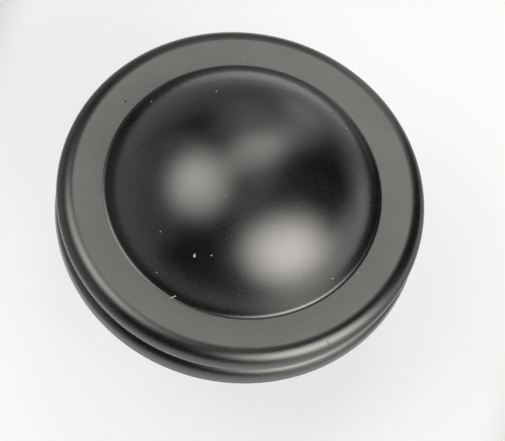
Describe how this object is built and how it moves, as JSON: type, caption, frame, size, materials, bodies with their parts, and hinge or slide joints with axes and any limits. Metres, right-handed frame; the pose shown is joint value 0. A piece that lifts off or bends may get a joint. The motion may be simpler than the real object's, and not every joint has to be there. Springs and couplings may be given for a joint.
{
  "type": "cabinet knob",
  "caption": "Round cabinet knob with a raised dome inside a flat ring, a rounded rim over a grooved band, a slim neck and a flat base with a tapped hole.",
  "frame": {"origin": "centre of the flat base that seats on the cabinet front", "axes": "+Z along the knob's axis, out of the cabinet front towards the dome; the knob is round, so X and Y are free"},
  "size_m": [0.035, 0.035, 0.027],
  "materials": {
    "satin_black": "satin black coating on cast zinc alloy"
  },
  "bodies": {
    "root": {"knob": "satin_black"}
  },
  "joints": []
}
